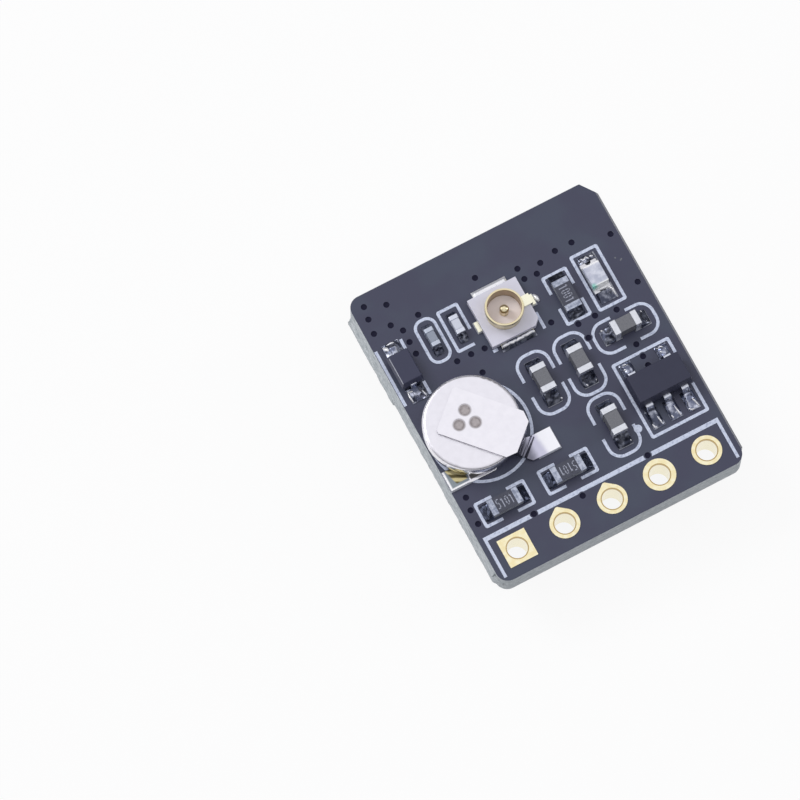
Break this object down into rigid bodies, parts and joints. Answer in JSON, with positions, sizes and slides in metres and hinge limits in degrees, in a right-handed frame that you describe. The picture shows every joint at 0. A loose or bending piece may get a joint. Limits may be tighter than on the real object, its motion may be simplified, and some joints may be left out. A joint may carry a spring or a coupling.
{
  "type": "gps module",
  "caption": "Small rectangular satellite positioning board with a coin cell, a micro coaxial antenna socket, chip parts and a row of plated header holes.",
  "frame": {"origin": "centre of the board's outline, on the face of the receiver's can that the board lies on", "axes": "+X along the header row, +Y from the header row to the plain end, +Z out of the populated face"},
  "size_m": [0.0134, 0.0156, 0.0055],
  "materials": {
    "masked_laminate": "semi-gloss dark slate mask over glass laminate",
    "gold_copper": "thin gold over copper",
    "tinned_copper": "bright tin over copper",
    "solder": "bright solder",
    "ink": "pale print",
    "white_moulding": "moulded, matt",
    "gold_metal": "gold plated sheet",
    "cell_steel": "satin nickel plated steel",
    "seal": "dull",
    "nickel_strip": "satin nickel strip",
    "black_moulding": "moulded, matt",
    "lead_metal": "tin plated",
    "pale_laminate": "plain",
    "end_metal": "tin plated",
    "clear_resin": "cloudy clear",
    "die": "plain",
    "fine_wire": "drawn",
    "brown_ceramic": "fired, matt",
    "grey_ceramic": "fired, matt",
    "white_ceramic": "fired, matt",
    "alumina": "fired, matt",
    "black_glaze": "glossy coat",
    "green_laminate": "semi-gloss",
    "can_steel": "bright plated sheet",
    "pale_ceramic": "plain"
  },
  "bodies": {
    "root": {"board": "masked_laminate", "header_pads": "gold_copper", "solder_lands": "tinned_copper", "solder_joints": "solder", "board_print": "ink", "antenna_base": "white_moulding", "antenna_shell": "gold_metal", "antenna_pin": "gold_metal", "battery_cell": "cell_steel", "battery_gasket": "seal", "battery_top_tab": "nickel_strip", "battery_bottom_tab": "nickel_strip", "regulator_body": "black_moulding", "diode_body": "black_moulding", "regulator_leads": "lead_metal", "diode_leads": "lead_metal", "led_base": "pale_laminate", "led_terminals": "end_metal", "led_lens": "clear_resin", "led_die": "die", "led_wire": "fine_wire", "capacitor_1_body": "brown_ceramic", "capacitor_1_ends": "end_metal", "capacitor_2_body": "brown_ceramic", "capacitor_2_ends": "end_metal", "capacitor_3_body": "brown_ceramic", "capacitor_3_ends": "end_metal", "capacitor_4_body": "brown_ceramic", "capacitor_4_ends": "end_metal", "rf_capacitor_body": "grey_ceramic", "rf_capacitor_ends": "end_metal", "rf_inductor_ends": "end_metal", "rf_inductor_body": "white_ceramic", "resistor_1_body": "alumina", "resistor_1_coat": "black_glaze", "resistor_1_ends": "end_metal", "resistor_2_body": "alumina", "resistor_2_coat": "black_glaze", "resistor_2_ends": "end_metal", "resistor_3_body": "alumina", "resistor_3_coat": "black_glaze", "resistor_3_ends": "end_metal", "receiver_board": "green_laminate", "receiver_contacts": "gold_copper", "receiver_can": "can_steel", "receiver_chip": "black_moulding", "receiver_amplifier": "black_moulding", "receiver_oscillator": "pale_ceramic", "receiver_filter": "pale_ceramic", "receiver_crystal": "pale_ceramic"}
  },
  "joints": []
}
